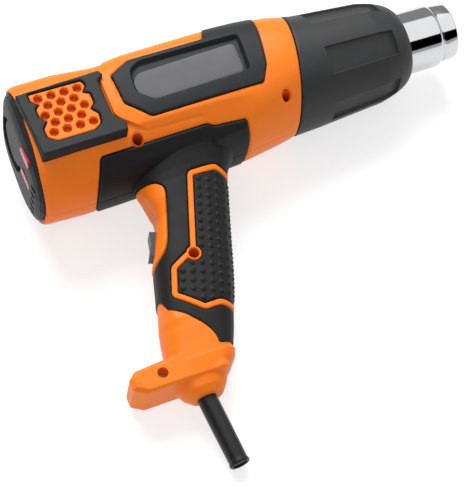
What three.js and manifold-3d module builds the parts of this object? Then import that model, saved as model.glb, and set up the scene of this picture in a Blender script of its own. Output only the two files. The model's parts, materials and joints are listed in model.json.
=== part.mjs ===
// A corded pistol-grip heat gun, lying on its left side on a bench.
// Gun axes, in millimetres: +X along the barrel towards the nozzle, -Y down the handle and
// +Z to the gun's right. The barrel's axis is y = 0, z = 0. The whole gun is turned at the
// end, so that it rests on its left grille, its left name panel and the foot of its handle.
import * as THREE from 'three';
import { mergeVertices } from 'three/addons/utils/BufferGeometryUtils.js';
import Module from 'manifold-3d';

const wasm = await Module();
wasm.setup();

// ---------------------------------------------------------------- driving dimensions
const GAP = 0.3;                 // clearance between neighbouring pieces
const SEAM = GAP / 2;            // half the clearance across the parting line
const FAR = 400;                 // longer than the gun, for cutting tools
const RING_SIDES = 24;           // points round one section of a casing
const HOLLOW_SIDES = 16;         // and of the hollow inside it
const REAR_SLOPE = 0.035;        // the rear face leans forward by this much per mm of height
const FRONT_SLOPE = 0.21;        // and the joint with the shroud by this much
const BARREL_FRONT = 160.2;      // station of that joint
const NOZZLE_TIP = 265;
const NOZZLE_END_R = 17;         // the nozzle's end takes 34 mm accessories
const NOZZLE_R = 18.85;
const FLANGE = 153.8;            // station of the nozzle tube's flange
const SHROUD_R = 33.96;
const BODY_WALL = 3.2;
const SKIN_PROUD = 0.8;          // the soft skin stands this far out of the body
const SKIN = 2.0;                // thickness of the soft skin
const RIB_HALF = 1.5;            // half the width of the orange rib round the grip pad
const GRIP_WALL = 2.5;
const MOTOR_R = 14;
const FAN_R = 24;
const REST_ROLL = 9.78;          // degrees about the barrel, from lying flat on the side
const REST_PITCH = 2.8;         // degrees, nose down
const REST_SHIFT = [-130.2, 65.4, 42.84];   // brings the bench point under the middle to 0

// Casing sections: station along the barrel, height above the axis, depth below it,
// half width, and the powers of the rounded-rectangle curve (2 is an ellipse) above and below.
const BODY = [
  [1.3, 30.6, 38.4, 31.0, 3.0, 2.2], [2.4, 32.2, 40.0, 32.4, 3.2, 2.3],
  [4.5, 33.0, 40.7, 33.0, 3.3, 2.35], [24, 33.0, 41.3, 33.0, 3.4, 2.45],
  [46, 30.4, 40.7, 33.0, 3.4, 2.5], [108, 31.5, 38.5, 33.0, 3.3, 2.5],
  [140, 32.6, 36.4, 33.0, 2.6, 2.3], [160.2, 33.2, 33.2, 33.2, 2.0, 2.0],
];
const RIDGE = [
  [40, 28.0, 41.2, 34.6, 3.4, 2.45], [57, 31.5, 41.0, 34.8, 3.4, 2.5],
  [64, 32.4, 40.8, 35.0, 3.4, 2.5], [108, 33.8, 39.4, 35.2, 3.2, 2.5],
  [130, 34.3, 38.2, 35.3, 2.8, 2.4], [150, 34.6, 35.4, 34.9, 2.3, 2.2],
  [156, 34.4, 34.6, 34.5, 2.1, 2.1], [160.2, 34.0, 34.0, 34.0, 2.0, 2.0],
];
// Handle sections: height, rear edge, front edge, half thickness and power.
const HANDLE = [
  [-30, 46, 118, 22, 2.6], [-42, 48.5, 109, 18, 2.6], [-50, 51.2, 101.8, 16.8, 2.6],
  [-60, 54.4, 97.7, 16.4, 2.6], [-66, 53.2, 95.6, 16.3, 2.6], [-84, 44.6, 89.1, 16.3, 2.6],
  [-90, 41.2, 87.0, 16.4, 2.6], [-105, 37.0, 81.7, 16.4, 2.6], [-115, 33.8, 77.8, 16.2, 2.7],
  [-125, 30.8, 73.5, 15.8, 2.8], [-137, 28.2, 68.5, 15.2, 3.0], [-150, 27.0, 62.4, 14.8, 3.2],
];
const CORD_BOSS = [
  [-146, 27.0, 62.0, 14.4, 3.0], [-152, 25.6, 60.4, 14.4, 3.0], [-156.5, 26.0, 58.6, 14.0, 3.0],
  [-158.5, 27.0, 56.0, 12.6, 2.5], [-163, 29.2, 53.4, 11.4, 2.4], [-166.8, 33.2, 50.2, 9.0, 2.2],
];

// Outlines seen from the side, as x and y.
const FOOT = [[4.2, -148], [8, -144.6], [24, -143.4], [40, -142], [56, -150.5], [56, -158],
  [10.5, -158], [4.2, -154]];
const RIDGE_EDGE = [[47.4, 12.5], [47.4, -10.5], [50, -13.6], [62.8, -23.2], [94.3, -22.9],
  [97.2, -30], [98, -70], [200, -70], [200, 70], [64, 70], [59, 30]];
const PANEL = [[54.4, 12.9], [67.9, 20.7], [112, 20.7], [116.5, 30], [118.5, 50], [152.5, 50],
  [149.2, 36], [145.6, 22], [139.8, -6.5], [134.1, -16.7], [67.1, -17.6], [55.2, -6.1]];
const PANEL_RECESS = [[65, 12.6], [71.8, 16.7], [131.8, 16.5], [128.8, -7], [71.5, -8.2],
  [63.4, -0.8]];
const GRILLE_FRAME = [[0.9, 15.4], [48.7, 16.8], [50.4, 13.5], [46.4, 10.8], [46.3, -11.7],
  [51.6, -17.6], [50.9, -23.2], [2.7, -23.6]];
const HONEYCOMB = [[7.5, 13], [37.4, 12.8], [38.6, 9.4], [35.8, 6.4], [39.4, 4.6], [39.3, -1.9],
  [36.3, -4.5], [39.6, -8.6], [38.6, -14.6], [34.2, -17.3], [13.1, -17.4], [8.8, -14.1],
  [8.5, -8.8], [12.0, -4.9], [8.8, -1.0], [8.7, 4.1], [11.6, 6.2], [7.6, 9.4]];
const SKIN_EDGE = [[33.8, -28.2], [96, -27.4], [99.5, -29.2], [118.8, -30.2], [122, -50],
  [120, -100], [90, -149.4], [54, -149.4], [54.9, -142], [53.3, -136], [49.5, -130.6],
  [44.9, -125.3], [38.7, -120.9], [33.4, -119.3], [24, -122], [20, -100], [27.6, -60],
  [28.2, -42]];
const THUMB_WEB = [[40, -45.4], [50, -46.8], [55, -45.9], [59.5, -47.2], [61.9, -51],
  [61.3, -55], [51.6, -81.5], [48, -86.6], [41, -91.4], [34, -95], [24, -88], [30, -52]];
const PAD_EDGE = [[112, -60], [97.4, -51.4], [93.6, -48.2], [78.1, -48.8], [62.4, -91.6],
  [48.8, -97.9], [43.4, -112.5], [56, -124.3], [65.3, -123.8], [72, -127], [92, -133]];

const HEX_ROWS = [[11.9, 9.9, 4], [15.6, 4.5, 3], [12.1, -1.0, 4], [15.8, -6.4, 3],
  [13.1, -12.0, 4]];           // first hole's x, the row's y and its count
const HEX_PITCH = 7.4;
const HEX_R = 2.7;
const SHROUD_RECESSES = 6;
const SHROUD_RECESS_TURN = 24;   // degrees from the right side down to the first recess

// Housing screws: x, y, the head's seat and the shank's end along z.
const SCREWS = {
  body_screw: [55.8, -25.6, 16, -14], collar_screw: [145.3, -25.2, 14, -12],
  handle_screw: [61.9, -93.8, 9, -9], base_screw: [21.5, -150.5, 8, -8],
};
const CLAMP_SCREWS = [[51.4, -147.4, 7.6, -10], [37.8, -147.4, 7.6, -10]];
const SCREW_HEAD_R = 2.6;
const SCREW_R = 1.5;

// Rocker switch on the back of the handle: middle of its face and how it leans.
const SWITCH_AT = [44.6, -76.0];
const SWITCH_LEAN = 20.5;
const DIAL_AT = [8, 0];          // y and z on the rear face
const DIAL_R = 14;
const RIM = 1.3;                 // width of the casing's edge round the rear cover
const COVER_BACK = 4.6;          // station of the rear cover's inner face
const CORD_EXIT = [40.3, -156];
const CORD_LEAN = 3.2;           // degrees that the cord leans forward as it leaves
const CORD_R = 3.5;
const GUARD_R = 5.3;
const GUARD_LENGTH = 50;

// ---------------------------------------------------------------- materials
const finish = (color, roughness, metalness = 0) =>
  new THREE.MeshStandardMaterial({ color, roughness, metalness });
const ORANGE = finish(0xf57f27, 0.42);
const SOFT_BLACK = finish(0x333436, 0.72);
const HARD_BLACK = finish(0x2c2d2f, 0.5);
const PLATE_GREY = finish(0x6c6c6d, 0.5);
const CHROME = finish(0xd8d9da, 0.12, 1);
const STEEL = finish(0x9a9c9e, 0.35, 1);
const RED_LENS = finish(0xc2272d, 0.15);
const CERAMIC = finish(0xe6dfd2, 0.8);
const MICA = finish(0xb39f7c, 0.6);
const BOARD_GREEN = finish(0x1f5a35, 0.6);

// ---------------------------------------------------------------- solids and geometry
function solid(geometry) {
  const bare = geometry.index ? geometry.clone() : geometry;
  bare.deleteAttribute('normal');
  bare.deleteAttribute('uv');
  const merged = mergeVertices(bare, 1e-4);
  const mesh = new wasm.Mesh({
    numProp: 3,
    vertProperties: new Float32Array(merged.attributes.position.array),
    triVerts: new Uint32Array(merged.index.array),
  });
  return new wasm.Manifold(mesh);
}

function geometryOf(manifold) {
  const mesh = manifold.getMesh();
  const geometry = new THREE.BufferGeometry();
  geometry.setAttribute('position', new THREE.BufferAttribute(mesh.vertProperties, 3));
  geometry.setIndex(new THREE.BufferAttribute(mesh.triVerts, 1));
  return geometry;
}

const joined = (list) => list.reduce((all, one) => all.add(one));
const without = (whole, list) => list.reduce((all, one) => all.subtract(one), whole);

// A closed surface through rings of equal length, with a fan of triangles over each end.
function loft(rings) {
  const sides = rings[0].length;
  const points = rings.flat();
  const faces = [];
  for (let r = 0; r < rings.length - 1; r += 1) {
    for (let i = 0; i < sides; i += 1) {
      const a = r * sides + i;
      const b = r * sides + (i + 1) % sides;
      faces.push(a, b, b + sides, a, b + sides, a + sides);
    }
  }
  [0, rings.length - 1].forEach((end) => {
    const ring = rings[end];
    const middle = ring.reduce((sum, p) => sum.map((v, k) => v + p[k] / sides), [0, 0, 0]);
    const hub = points.push(middle) - 1;
    for (let i = 0; i < sides; i += 1) {
      const a = end * sides + i;
      const b = end * sides + (i + 1) % sides;
      faces.push(...(end === 0 ? [hub, b, a] : [hub, a, b]));
    }
  });
  const geometry = new THREE.BufferGeometry();
  geometry.setAttribute('position', new THREE.Float32BufferAttribute(points.flat(), 3));
  geometry.setIndex(faces);
  return solid(geometry);
}

// A point of a rounded-rectangle curve: both coordinates for a turn, in radians.
function roundedRectangle(turn, power) {
  const c = Math.cos(turn);
  const s = Math.sin(turn);
  return [Math.sign(c) * Math.abs(c) ** (2 / power), Math.sign(s) * Math.abs(s) ** (2 / power)];
}

const turns = (count) => Array.from({ length: count }, (_, i) => (2 * Math.PI * i) / count);
const slopeAt = (station) =>
  REAR_SLOPE + (FRONT_SLOPE - REAR_SLOPE) * THREE.MathUtils.clamp(station / BARREL_FRONT, 0, 1);

// The barrel casing through its sections, moved inwards by `inset`.
function barrel(rows, { inset = 0, topDrop = 0, sideRise = 0, sides = RING_SIDES } = {}) {
  return loft(rows.map(([station, top, bottom, side, above, below]) => turns(sides).map((turn) => {
    const [c, s] = roundedRectangle(turn, Math.cos(turn) > 0 ? above : below);
    const y = c * (c > 0 ? top - topDrop - inset : bottom - inset);
    return [station + slopeAt(station) * y, y, s * (side + sideRise - inset)];
  })));
}

// Handle and cord boss: level sections stacked down the handle, moved inwards by `inset`.
function stack(rows, inset = 0, sides = RING_SIDES) {
  return loft([...rows].reverse().map(([y, rear, front, half, power]) =>
    turns(sides).map((turn) => {
      const [c, s] = roundedRectangle(turn, power);
      const reach = (front - rear) / 2 - inset;
      return [(front + rear) / 2 + s * reach, y, c * (half - inset)];
    })));
}

// Moves every edge of an outline outwards by `d`, keeping its corners sharp.
function grow(outline, d) {
  const area = outline.reduce((sum, [x, y], i) => {
    const [u, v] = outline[(i + 1) % outline.length];
    return sum + x * v - u * y;
  }, 0);
  const side = Math.sign(area);
  const edges = outline.map(([x, y], i) => {
    const [u, v] = outline[(i + 1) % outline.length];
    const length = Math.hypot(u - x, v - y);
    const normal = [(side * (v - y)) / length, (side * (x - u)) / length];
    return { normal, reach: normal[0] * x + normal[1] * y + d };
  });
  return edges.map((edge, i) => {
    const before = edges[(i + edges.length - 1) % edges.length];
    const det = before.normal[0] * edge.normal[1] - before.normal[1] * edge.normal[0];
    return [
      (before.reach * edge.normal[1] - edge.reach * before.normal[1]) / det,
      (before.normal[0] * edge.reach - edge.normal[0] * before.reach) / det,
    ];
  });
}

// An outline in x and y made solid between two heights along z.
function prism(outline, z0 = -FAR / 2, z1 = FAR / 2, bevel = 0) {
  const shape = new THREE.Shape(outline.map(([x, y]) => new THREE.Vector2(x, y)));
  const geometry = new THREE.ExtrudeGeometry(shape, {
    depth: z1 - z0 - 2 * bevel,
    bevelEnabled: bevel > 0,
    bevelThickness: bevel,
    bevelSize: bevel,
    bevelOffset: -bevel,
    bevelSegments: 1,
  });
  return solid(geometry.translate(0, 0, z0 + bevel));
}

function box(from, to) {
  const size = to.map((v, k) => v - from[k]);
  const geometry = new THREE.BoxGeometry(...size);
  return solid(geometry.translate(...from.map((v, k) => v + size[k] / 2)));
}

const rightHalf = box([-FAR, -FAR, SEAM], [FAR, FAR, FAR]);
const leftHalf = box([-FAR, -FAR, -FAR], [FAR, FAR, -SEAM]);

// A round bar along z.
function pin(x, y, radius, z0, z1, sides = 14) {
  const geometry = new THREE.CylinderGeometry(radius, radius, z1 - z0, sides);
  return solid(geometry.rotateX(Math.PI / 2).translate(x, y, (z0 + z1) / 2));
}

// A turned piece round the barrel's axis: the profile holds x and radius.
function turned(profile, sides = 32) {
  const points = profile.map(([x, radius]) => new THREE.Vector2(radius, x));
  const closed = profile[0][1] === 0 ? points : [...points, points[0].clone()];
  return solid(new THREE.LatheGeometry(closed, sides).rotateZ(-Math.PI / 2));
}

const disc = (radius, x0, x1, sides = 24) =>
  turned([[x0, 0], [x0, radius], [x1, radius], [x1, 0]], sides);
const tube = (inner, outer, x0, x1, sides = 28) =>
  turned([[x0, inner], [x0, outer], [x1, outer], [x1, inner]], sides);

// ---------------------------------------------------------------- the casing
// The body's sections with both ends drawn out, for cutting right through it.
const THROUGH = BODY.map((row) => [...row]);
THROUGH[0][0] -= 7;
THROUGH[THROUGH.length - 1][0] += 6;

const ridge = () => barrel(RIDGE).intersect(prism(RIDGE_EDGE));

// The area of the soft skin seen from the side, as a tool through the whole gun.
function skinArea(clearance) {
  const rib = prism(grow(PAD_EDGE, RIB_HALF - clearance))
    .subtract(prism(grow(PAD_EDGE, clearance - RIB_HALF)));
  const [x, y] = SCREWS.handle_screw;
  return without(prism(grow(SKIN_EDGE, clearance)), [
    prism(grow(THUMB_WEB, -clearance)), rib, pin(x, y, 4.3 - clearance, -FAR / 2, FAR / 2),
  ]);
}

function skinBlank() {
  const outside = joined([barrel(BODY, { inset: -SKIN_PROUD }), stack(HANDLE)]);
  const inside = joined([barrel(BODY, { inset: SKIN - SKIN_PROUD }), stack(HANDLE, SKIN)]);
  return outside.intersect(skinArea(-SEAM)).subtract(inside);
}

// The cord's axis, as a tool turned to lean with it.
function atExit(manifold) {
  return manifold.rotate([0, 0, CORD_LEAN]).translate([CORD_EXIT[0], CORD_EXIT[1], 0]);
}

// Where the switch stands, as a tool turned to lean with the back of the handle.
function atSwitch(manifold) {
  return manifold.rotate([0, 0, -SWITCH_LEAN]).translate([SWITCH_AT[0], SWITCH_AT[1], 0]);
}

function casing() {
  const outside = joined([barrel(BODY), ridge(), stack(HANDLE), stack(CORD_BOSS),
    prism(FOOT, -14, 14, 2.2)]);
  const underSkin = joined([barrel(BODY, { inset: SKIN - SKIN_PROUD + GAP }),
    stack(HANDLE, SKIN + GAP)]);
  const hollowHandle = HANDLE.map((row) => [...row]);
  hollowHandle[hollowHandle.length - 1][0] = -153;
  const inside = joined([barrel(THROUGH, { inset: BODY_WALL, sides: HOLLOW_SIDES }),
    stack(hollowHandle.filter((_, i) => i % 2 === 1), SKIN + GAP + GRIP_WALL, HOLLOW_SIDES)]);
  const frontCut = box([0, -FAR, -FAR], [FAR, FAR, FAR])
    .rotate([0, 0, -THREE.MathUtils.radToDeg(Math.atan(FRONT_SLOPE))])
    .translate([BARREL_FRONT, 0, 0]);
  const posts = Object.values(SCREWS).map(([x, y]) => pin(x, y, 5, -30, 30, 12));
  const clampPosts = CLAMP_SCREWS.map(([x, y]) => pin(x, y, 3.6, -14, -SEAM, 12));
  const walls = outside.subtract(inside).add(joined([...posts, ...clampPosts]).intersect(outside));
  const holes = Object.values(SCREWS).map(([x, y, seat, end]) => joined([
    pin(x, y, SCREW_HEAD_R + GAP, seat - 2.4, FAR / 2),
    pin(x, y, SCREW_R + GAP, end - 1, seat, 12),
  ]));
  const clampHoles = CLAMP_SCREWS.map(([x, y, , end]) => pin(x, y, SCREW_R + GAP, end - 1, 4, 12));
  const guardHole = new THREE.CylinderGeometry(GUARD_R + GAP, GUARD_R + GAP, 40, 20);
  const guardSeat = new THREE.CylinderGeometry(GUARD_R + 1.8, GUARD_R + 1.8, 12, 20);
  const coverSeat = coverLoft([[-6, RIM], [COVER_BACK + GAP, RIM]]);
  return without(walls, [
    skinArea(SEAM).subtract(underSkin), ...holes, ...clampHoles, frontCut,
    atExit(solid(guardHole.translate(0, -20, 0))),
    atExit(solid(guardSeat.translate(0, 6, 0))),
    coverSeat,
    atSwitch(box([-3, -9, -6.9], [30, 9, 6.9])),
    prism([[9.5, -15], [37, -15], [37, 10.5], [9.5, 10.5]]),
  ]);
}

// Slab on one side of the body, between the body's surface and the panel's own.
function namePanel() {
  const outside = barrel(RIDGE, { topDrop: 0.4, sideRise: 0.7 });
  const recess = prism(PANEL_RECESS).subtract(barrel(BODY, { sideRise: 1.0 }));
  return outside.intersect(prism(PANEL)).subtract(barrel(BODY, { inset: -GAP })).subtract(recess);
}

// What the ridge leaves free for the name panel and the grille frame.
function panelBay() {
  return prism(grow(PANEL, GAP)).add(prism(grow(GRILLE_FRAME, GAP))).subtract(barrel(BODY));
}

function grilleFrame() {
  return without(prism(GRILLE_FRAME, 24, 37.2, 0.9), [prism(grow(HONEYCOMB, GAP)),
    barrel(THROUGH, { inset: -GAP })]);
}

function hexagon(x, y, radius) {
  return turns(6).map((turn) => [x + radius * Math.sin(turn), y + radius * Math.cos(turn)]);
}

function honeycomb() {
  const holes = HEX_ROWS.flatMap(([first, y, count]) =>
    Array.from({ length: count }, (_, i) => prism(hexagon(first + i * HEX_PITCH, y, HEX_R))));
  return without(prism(HONEYCOMB, 28, 36.6), [...holes, barrel(THROUGH, { inset: -GAP })]);
}

// ---------------------------------------------------------------- rear end
const onRear = (manifold, x) => manifold
  .rotate([0, 0, -THREE.MathUtils.radToDeg(Math.atan(REAR_SLOPE))])
  .translate([x + REAR_SLOPE * DIAL_AT[0], DIAL_AT[0], DIAL_AT[1]]);

const LENSES = { upper_indicator_lens: [-14, 22], lower_indicator_lens: [-17, 4] };

// A capsule-shaped lens, drawn from below the dial towards the rim.
function lensShape([y, z], radius, front = -3.8) {
  const back = 3.6;
  const ends = [-4, 4].map((step) => disc(radius, front, back, 16).translate([0, step, 0]));
  const bar = box([front, -4, -radius], [back, 4, radius]);
  return joined([...ends, bar]).translate([REAR_SLOPE * y, y, z]);
}

// The rear opening's outline at several stations, each drawn in by its own amount.
function coverLoft(steps) {
  const [, top, bottom, side, ...powers] = BODY[1];
  return barrel(steps.map(([station, inset]) =>
    [station, top - inset, bottom - inset, side - inset, ...powers]));
}

// A shallow dome with a round recess for the dial.
function rearCover() {
  const edge = RIM + GAP;
  const plate = coverLoft([[-3.4, 11], [-2.9, 6.5], [-1.6, 3], [0.4, edge], [COVER_BACK, edge]]);
  const slots = [-14, -7, 7, 14].map((z) => box([-9, 25.6 - Math.abs(z) * 0.2, z - 1.6],
    [9, 27.6 - Math.abs(z) * 0.2, z + 1.6]));
  const lowSlots = [-12, -6, 0, 6, 12].map((z) => box([-9, -31, z - 1.4], [9, -26, z + 1.4]));
  const lensHoles = Object.values(LENSES).map((at) => lensShape(at, 2.6 + GAP, -9));
  return without(plate, [...slots, ...lowSlots, ...lensHoles, onRear(disc(4, -9, 9), 0),
    onRear(disc(DIAL_R + 2, -9, 0.9, 32), 0)]);
}

function temperatureDial() {
  const knob = turned([[-2.6, 0], [-2.6, DIAL_R - 1.5], [-1.8, DIAL_R], [0.5, DIAL_R],
    [0.5, 3.2], [10, 3.2], [10, 0]], 24);
  const grips = turns(12).map((turn) => disc(1.1, -6, 2.5, 8)
    .translate([0, DIAL_R * Math.cos(turn), DIAL_R * Math.sin(turn)]));
  return onRear(without(knob, grips), 0);
}

const potentiometer = () => onRear(tube(3.6, 8, 5.2, 12.5, 20), 0);

// ---------------------------------------------------------------- hot end
function heaterShroud() {
  const taper = [[140, SHROUD_R + 1.4], [BARREL_FRONT, SHROUD_R], [212, 30.0], [222, 27.6],
    [229, 24.2], [231.6, 21.8], [232, 21.0], [232, 19.9], [229.5, 19.9], [226.5, 22.0],
    [218, 25.4], [160, SHROUD_R - 4], [140, SHROUD_R - 3.4]];
  const lean = THREE.MathUtils.radToDeg(Math.atan((SHROUD_R - 30) / (212 - BARREL_FRONT)));
  const recesses = Array.from({ length: SHROUD_RECESSES }, (_, i) => box([-22, -8, 0],
    [22, 8, 12]).rotate([0, lean, 0]).translate([199, 0, 28.7])
    .rotate([SHROUD_RECESS_TURN + (i * 360) / SHROUD_RECESSES, 0, 0]));
  const rearCut = box([-FAR, -FAR, -FAR], [0, FAR, FAR])
    .rotate([0, 0, -THREE.MathUtils.radToDeg(Math.atan(FRONT_SLOPE))])
    .translate([BARREL_FRONT + GAP, 0, 0]);
  return without(turned(taper, 36), [...recesses, rearCut]);
}

function nozzleTube() {
  const wall = 1.1;
  return turned([[FLANGE, 26], [FLANGE + 1.2, 26], [FLANGE + 1.2, NOZZLE_R], [251.4, NOZZLE_R],
    [252.8, NOZZLE_R - 1.3], [254, NOZZLE_R - 1.3], [255.6, NOZZLE_END_R],
    [NOZZLE_TIP, NOZZLE_END_R], [NOZZLE_TIP, NOZZLE_END_R - wall - 0.6],
    [250.4, NOZZLE_END_R - wall - 0.6], [248, NOZZLE_R - wall], [FLANGE, NOZZLE_R - wall]], 32);
}

function heatingCoil() {
  const wire = 0.9;
  const radius = 13.6;
  const loops = 5;
  const steps = loops * 12;
  const points = Array.from({ length: steps + 1 }, (_, i) => {
    const turn = (2 * Math.PI * loops * i) / steps;
    return new THREE.Vector3(172 + (62 * i) / steps, radius * Math.cos(turn),
      radius * Math.sin(turn));
  });
  const section = new THREE.Shape(turns(5).map((t) =>
    new THREE.Vector2(wire * Math.cos(t), wire * Math.sin(t))));
  return solid(new THREE.ExtrudeGeometry(section, {
    steps, extrudePath: new THREE.CatmullRomCurve3(points), bevelEnabled: false,
  }));
}

// ---------------------------------------------------------------- blower
function impeller() {
  const hub = tube(2.0, 8, 106, 119, 20);
  const blades = turns(7).map((turn) => box([107, -0.9, 7], [118, 0.9, FAN_R])
    .translate([-112.5, 0, 0]).rotate([0, 0, 28]).translate([112.5, 0, 0])
    .rotate([THREE.MathUtils.radToDeg(turn), 0, 0]));
  return joined([hub, ...blades]);
}

function fanGuide() {
  const ring = tube(FAN_R + 1.2, FAN_R + 3, 84, 124);
  const collar = tube(MOTOR_R + GAP, MOTOR_R + 2.4, 84, 98, 28);
  const spokes = turns(4).map((turn) => box([86, -1, MOTOR_R + 1], [96, 1, FAN_R + 2])
    .rotate([45 + THREE.MathUtils.radToDeg(turn), 0, 0]));
  return joined([ring, collar, ...spokes]);
}

const motorCan = () => turned([[60, 0], [60, MOTOR_R - 1], [61, MOTOR_R], [98, MOTOR_R],
  [99.5, MOTOR_R - 2], [99.5, 1.9], [94, 1.9], [94, 0]], 28);

// ---------------------------------------------------------------- handle contents
function switchBody() {
  const block = box([7.2, -8.6, -6.6], [25, 8.6, 6.6]);
  const bezel = without(box([4.6, -8.6, -6.6], [7.6, 8.6, 6.6]), [box([0, -7.9, -5.5], [9, 7.9, 5.5])]);
  return atSwitch(block.add(bezel));
}

// The rocker's two thumb faces meet in a shallow valley.
const switchRocker = () => atSwitch(prism([[0, -7.1], [0.9, 0], [0, 7.1], [5.4, 7.1],
  [6.3, 0], [5.4, -7.1]], -5, 5));

const cordClamp = () => without(box([34.8, -150, 3.8], [54.4, -145, 5.2]),
  CLAMP_SCREWS.map(([x, y]) => pin(x, y, SCREW_R + GAP, 0, 20, 12)));

function screw([x, y, seat, end]) {
  const slot = box([x - 2, y - 0.4, seat - 0.8], [x + 2, y + 0.4, seat + 1]);
  return joined([pin(x, y, SCREW_HEAD_R, seat - 2.2, seat), pin(x, y, SCREW_R, end, seat - 1, 10)])
    .subtract(slot);
}

function cordGuard() {
  const bead = GUARD_R + 0.4;
  const mouth = -GUARD_LENGTH;
  const profile = [[mouth, 4.0], [mouth, bead - 0.4], [mouth + 1, bead], [mouth + 2.4, bead - 0.6],
    [-7, GUARD_R], [0.4, GUARD_R], [0.4, GUARD_R + 1.4], [3.2, GUARD_R + 1.4],
    [3.2, CORD_R + GAP], [mouth + 3, CORD_R + GAP], [mouth + 2, 4.0]]
    .map(([y, radius]) => new THREE.Vector2(radius, y));
  return atExit(solid(new THREE.LatheGeometry([...profile, profile[0].clone()], 20)));
}

function powerCord() {
  const section = new THREE.Shape(turns(10).map((t) =>
    new THREE.Vector2(CORD_R * Math.cos(t), CORD_R * Math.sin(t))));
  const route = new THREE.LineCurve3(new THREE.Vector3(0, 0, 0),
    new THREE.Vector3(0, 1 - GUARD_LENGTH, 0));
  return atExit(solid(new THREE.ExtrudeGeometry(section, {
    steps: 3, extrudePath: route, bevelEnabled: false,
  })));
}

// ---------------------------------------------------------------- assembly
const gun = new THREE.Group();
const laid = new THREE.Group();
laid.add(gun);

function place(name, manifold, material) {
  const mesh = new THREE.Mesh(geometryOf(manifold), material);
  mesh.name = name;
  gun.add(mesh);
}

const shell = casing().subtract(panelBay());
const skin = skinBlank();
const padTool = prism(PAD_EDGE);
const mirrored = (manifold) => manifold.scale([1, 1, -1]);
const sides = { right: rightHalf, left: leftHalf };
const panel = namePanel().intersect(rightHalf);
const plate = barrel(BODY, { sideRise: 1.9 }).intersect(prism(grow(PANEL_RECESS, -GAP)))
  .subtract(barrel(BODY, { sideRise: 1.3 })).intersect(rightHalf);

Object.entries(sides).forEach(([side, half]) => {
  const facing = (manifold) => (side === 'right' ? manifold : mirrored(manifold));
  place(`${side}_shell`, shell.intersect(half), ORANGE);
  place(`${side}_overmould`, skin.subtract(padTool).intersect(half), SOFT_BLACK);
  place(`${side}_grip_pad`, skin.intersect(padTool).intersect(half), SOFT_BLACK);
  place(`${side}_name_panel`, facing(panel), HARD_BLACK);
  place(`${side}_name_plate`, facing(plate), PLATE_GREY);
  place(`${side}_grille_frame`, facing(grilleFrame()), HARD_BLACK);
  place(`${side}_honeycomb`, facing(honeycomb()), ORANGE);
});

place('rear_cover', rearCover(), HARD_BLACK);
place('temperature_dial', temperatureDial(), HARD_BLACK);
place('dial_potentiometer', potentiometer(), STEEL);
place('control_board', box([18, -22, -20], [19.6, 22, 20]), BOARD_GREEN);
Object.entries(LENSES).forEach(([name, at]) => place(name, lensShape(at, 2.6), RED_LENS));

place('heater_shroud', heaterShroud(), HARD_BLACK);
place('nozzle_tube', nozzleTube(), CHROME);
place('nozzle_mount_ring', tube(19.6, 28.4, FLANGE - 2.8, FLANGE - GAP), STEEL);
place('mica_sleeve', tube(15.6, 16.8, 166, 244, 28), MICA);
place('heater_core', disc(11.5, 168, 240, 6), CERAMIC);
place('heating_coil', heatingCoil(), STEEL);

place('fan_impeller', impeller(), HARD_BLACK);
place('motor_shaft', disc(1.6, 94.6, 120, 12), STEEL);
place('motor_can', motorCan(), STEEL);
place('fan_guide', fanGuide(), HARD_BLACK);

place('switch_body', switchBody(), HARD_BLACK);
place('switch_rocker', switchRocker(), HARD_BLACK);
place('cord_clamp', cordClamp(), HARD_BLACK);
place('front_clamp_screw', screw(CLAMP_SCREWS[0]), STEEL);
place('rear_clamp_screw', screw(CLAMP_SCREWS[1]), STEEL);
place('cord_guard', cordGuard(), SOFT_BLACK);
place('power_cord', powerCord(), SOFT_BLACK);
Object.entries(SCREWS).forEach(([name, at]) => place(name, screw(at), STEEL));

gun.rotation.set(THREE.MathUtils.degToRad(REST_ROLL), 0, 0);
laid.rotation.set(0, THREE.MathUtils.degToRad(REST_PITCH), 0);
laid.position.set(...REST_SHIFT);

export default laid;
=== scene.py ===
"""Surfaces, finishes, light and camera of a pistol-grip heat gun lying on its side.

Shapes are worked out in the gun's own axes, in millimetres: +X along the barrel towards the
nozzle, -Y down the handle, +Z to the gun's right. placed() lays them on the bench in metres.
"""

import json
import math

import bpy
import numpy as np
from mathutils import Matrix, Vector


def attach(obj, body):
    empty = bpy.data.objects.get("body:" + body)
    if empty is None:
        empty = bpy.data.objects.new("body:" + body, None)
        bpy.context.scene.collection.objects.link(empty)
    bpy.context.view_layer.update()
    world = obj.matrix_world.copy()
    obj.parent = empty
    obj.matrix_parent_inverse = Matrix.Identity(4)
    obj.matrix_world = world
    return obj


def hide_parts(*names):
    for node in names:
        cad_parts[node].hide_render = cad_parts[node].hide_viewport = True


bl_info = {
    "name": "Heat gun builder",
    "version": (1, 0, 0),
    "blender": (4, 5, 0),
    "location": "3D View > Sidebar > Heat gun",
    "description": "Builds the visible surfaces of a corded pistol-grip heat gun",
    "category": "Object",
}

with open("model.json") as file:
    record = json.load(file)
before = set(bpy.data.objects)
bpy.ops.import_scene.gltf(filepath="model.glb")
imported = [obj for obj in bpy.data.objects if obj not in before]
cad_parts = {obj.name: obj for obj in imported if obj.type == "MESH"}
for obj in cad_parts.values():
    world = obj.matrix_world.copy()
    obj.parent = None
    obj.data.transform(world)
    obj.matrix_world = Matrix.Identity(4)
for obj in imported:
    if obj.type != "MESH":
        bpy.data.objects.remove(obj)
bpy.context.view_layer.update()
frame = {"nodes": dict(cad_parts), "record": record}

# ------------------------------------------------------------------ sizes shared with the frame
MM = 0.001
REST_ROLL = 9.78
REST_PITCH = 2.8
REST_SHIFT = (-130.2, 65.4, 42.84)
REAR_SLOPE = 0.035
FRONT_SLOPE = 0.21
BARREL_FRONT = 160.2
NOZZLE_END_R = 17.0
NOZZLE_R = 18.85

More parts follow.
